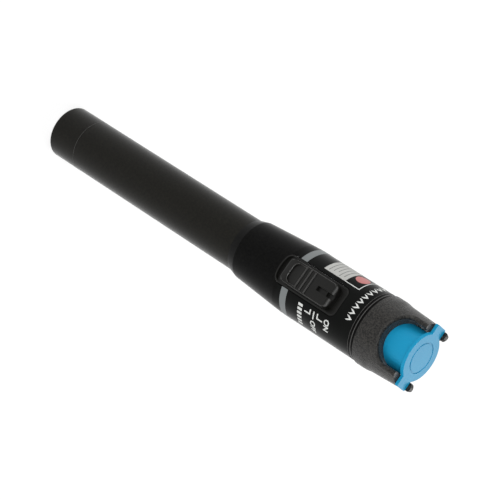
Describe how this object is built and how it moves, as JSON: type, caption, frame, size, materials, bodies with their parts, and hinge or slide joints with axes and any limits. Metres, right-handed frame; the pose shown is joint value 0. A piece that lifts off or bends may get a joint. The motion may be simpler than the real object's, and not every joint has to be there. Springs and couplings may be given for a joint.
{
  "type": "visual fault locator",
  "caption": "Pen-shaped visual fault locator with a three-position thumb slider, a two-pronged nose round a ferrule port, a rubber dust cap and a screw-on tail cap.",
  "frame": {"origin": "centre of the flat end of the tail cap, on which the pen stands", "axes": "+Z along the pen from the tail to the nose, -Y the side with the thumb slider, prongs of the nose at -X and +X"},
  "size_m": [0.0262, 0.0277, 0.1775],
  "materials": {
    "black_anodised": "matt black anodised aluminium",
    "label_film": "dark satin printed film",
    "nose_plastic": "finely textured dark grey moulded plastic",
    "switch_plastic": "satin black moulded plastic",
    "blue_rubber": "soft blue rubber",
    "seal_rubber": "black nitrile",
    "spring_steel": "plated spring wire",
    "brass": "bare brass",
    "nickel": "nickel plated turned metal",
    "ceramic": "white zirconia",
    "board_green": "green solder mask",
    "carrier_plastic": "black moulded plastic",
    "component_black": "black component packages",
    "cell_sleeve": "plain grey cell sleeve",
    "diode_gold": "gold plated can",
    "lens_glass": "clear glass"
  },
  "bodies": {
    "housing": {"tail_seal_ring": "seal_rubber", "battery_tube": "black_anodised", "rear_cell": "cell_sleeve", "front_cell": "cell_sleeve", "front_contact": "brass", "contact_board": "board_green", "head_shell": "black_anodised", "label_wrap": "label_film", "switch_tray": "switch_plastic", "slide_switch_case": "spring_steel", "circuit_board": "board_green", "board_carrier": "carrier_plastic", "board_screws": "spring_steel", "driver_chip": "component_black", "power_coil": "component_black", "capacitors": "component_black", "trim_potentiometer": "component_black", "laser_holder": "brass", "laser_diode": "diode_gold", "focus_lens": "lens_glass", "lens_ring": "brass", "adapter_body": "nickel", "ceramic_sleeve": "ceramic", "nose_shell": "nose_plastic", "nose_seal_ring": "seal_rubber"},
    "slider": {"switch_slider": "switch_plastic", "switch_lever": "component_black"},
    "dust_cover": {"dust_cap": "blue_rubber"},
    "tail_contact": {"tail_contact_plate": "brass", "tail_spring": "spring_steel"},
    "tail_closure": {"tail_cap": "black_anodised"}
  },
  "joints": [
    {"name": "switch_slide", "type": "slide", "parent": "housing", "child": "slider", "axis": [0, 0, 1], "range_m": [-0.0019, 0.0019]},
    {"name": "dust_cap_pull", "type": "slide", "parent": "housing", "child": "dust_cover", "axis": [0, 0, 1], "range_m": [0, 0.035]},
    {"name": "tail_cap_travel", "type": "slide", "parent": "housing", "child": "tail_contact", "axis": [0, 0, -1], "range_m": [0, 0.0081]},
    {"name": "tail_cap_turn", "type": "hinge", "parent": "tail_contact", "child": "tail_closure", "pos_m": [0, 0, 0], "axis": [0, 0, -1], "range_deg": [0, 2304]}
  ],
  "couplings": [
    {"joint": "tail_cap_travel", "follows": "tail_cap_turn", "m_per_rad": 0.00019894}
  ]
}
